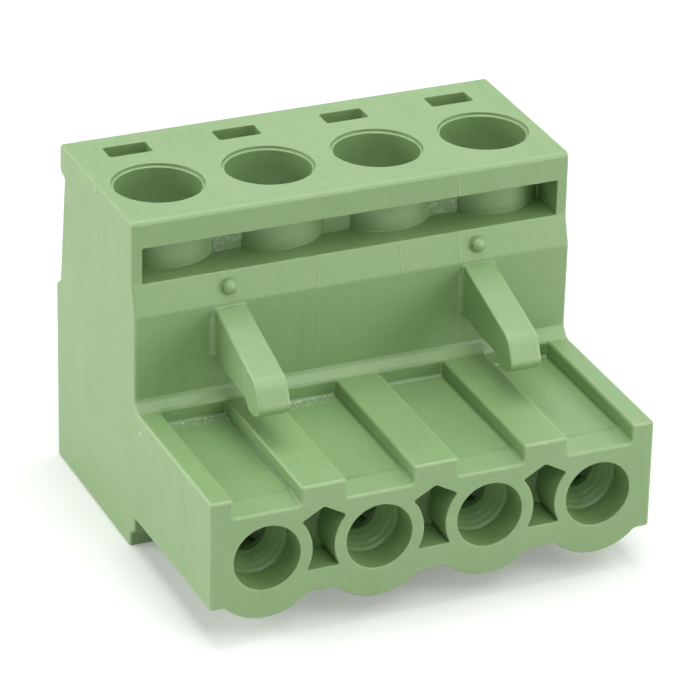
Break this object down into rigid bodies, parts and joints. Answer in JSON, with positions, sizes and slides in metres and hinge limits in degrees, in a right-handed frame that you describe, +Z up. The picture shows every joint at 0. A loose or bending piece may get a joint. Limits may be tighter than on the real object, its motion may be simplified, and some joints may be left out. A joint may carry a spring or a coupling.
{
  "type": "pluggable terminal block",
  "caption": "Screw terminal plug in sage green plastic: pin sockets and two latch arms in front, wire funnels behind, screw wells on top.",
  "frame": {"origin": "under the middle of the block, on the plane that it stands on", "axes": "+X along the row of poles, -Y is the mating face that the header's pins enter, +Y the wire side, +Z up, the side with the screw wells"},
  "size_m": [0.0204, 0.0186, 0.0156],
  "materials": {
    "plastic": "moulded polyamide, fine satin",
    "screw_steel": "zinc plated steel",
    "cage_metal": "nickel plated brass",
    "tinned_contact": "stamped brass, tin plated"
  },
  "bodies": {
    "plug": {"housing": "plastic", "rear_cover": "plastic", "contact_1": "tinned_contact", "contact_2": "tinned_contact", "contact_3": "tinned_contact", "contact_4": "tinned_contact"},
    "turning_screw_1": {"screw_1": "screw_steel"},
    "turning_screw_2": {"screw_2": "screw_steel"},
    "turning_screw_3": {"screw_3": "screw_steel"},
    "turning_screw_4": {"screw_4": "screw_steel"},
    "rising_cage_1": {"cage_1": "cage_metal"},
    "rising_cage_2": {"cage_2": "cage_metal"},
    "rising_cage_3": {"cage_3": "cage_metal"},
    "rising_cage_4": {"cage_4": "cage_metal"}
  },
  "joints": [
    {"name": "screw_1_turn", "type": "hinge", "parent": "plug", "child": "turning_screw_1", "pos_m": [-0.00762, 0.00338, 0.012], "axis": [0, 0, -1], "range_deg": [0, 2160]},
    {"name": "screw_2_turn", "type": "hinge", "parent": "plug", "child": "turning_screw_2", "pos_m": [-0.00254, 0.00338, 0.012], "axis": [0, 0, -1], "range_deg": [0, 2160]},
    {"name": "screw_3_turn", "type": "hinge", "parent": "plug", "child": "turning_screw_3", "pos_m": [0.00254, 0.00338, 0.012], "axis": [0, 0, -1], "range_deg": [0, 2160]},
    {"name": "screw_4_turn", "type": "hinge", "parent": "plug", "child": "turning_screw_4", "pos_m": [0.00762, 0.00338, 0.012], "axis": [0, 0, -1], "range_deg": [0, 2160]},
    {"name": "cage_1_rise", "type": "slide", "parent": "plug", "child": "rising_cage_1", "axis": [0, 0, 1], "range_m": [0, 0.003]},
    {"name": "cage_2_rise", "type": "slide", "parent": "plug", "child": "rising_cage_2", "axis": [0, 0, 1], "range_m": [0, 0.003]},
    {"name": "cage_3_rise", "type": "slide", "parent": "plug", "child": "rising_cage_3", "axis": [0, 0, 1], "range_m": [0, 0.003]},
    {"name": "cage_4_rise", "type": "slide", "parent": "plug", "child": "rising_cage_4", "axis": [0, 0, 1], "range_m": [0, 0.003]}
  ],
  "couplings": [
    {"joint": "screw_1_turn", "follows": "cage_1_rise", "rad_per_m": 12566},
    {"joint": "screw_2_turn", "follows": "cage_2_rise", "rad_per_m": 12566},
    {"joint": "screw_3_turn", "follows": "cage_3_rise", "rad_per_m": 12566},
    {"joint": "screw_4_turn", "follows": "cage_4_rise", "rad_per_m": 12566}
  ]
}
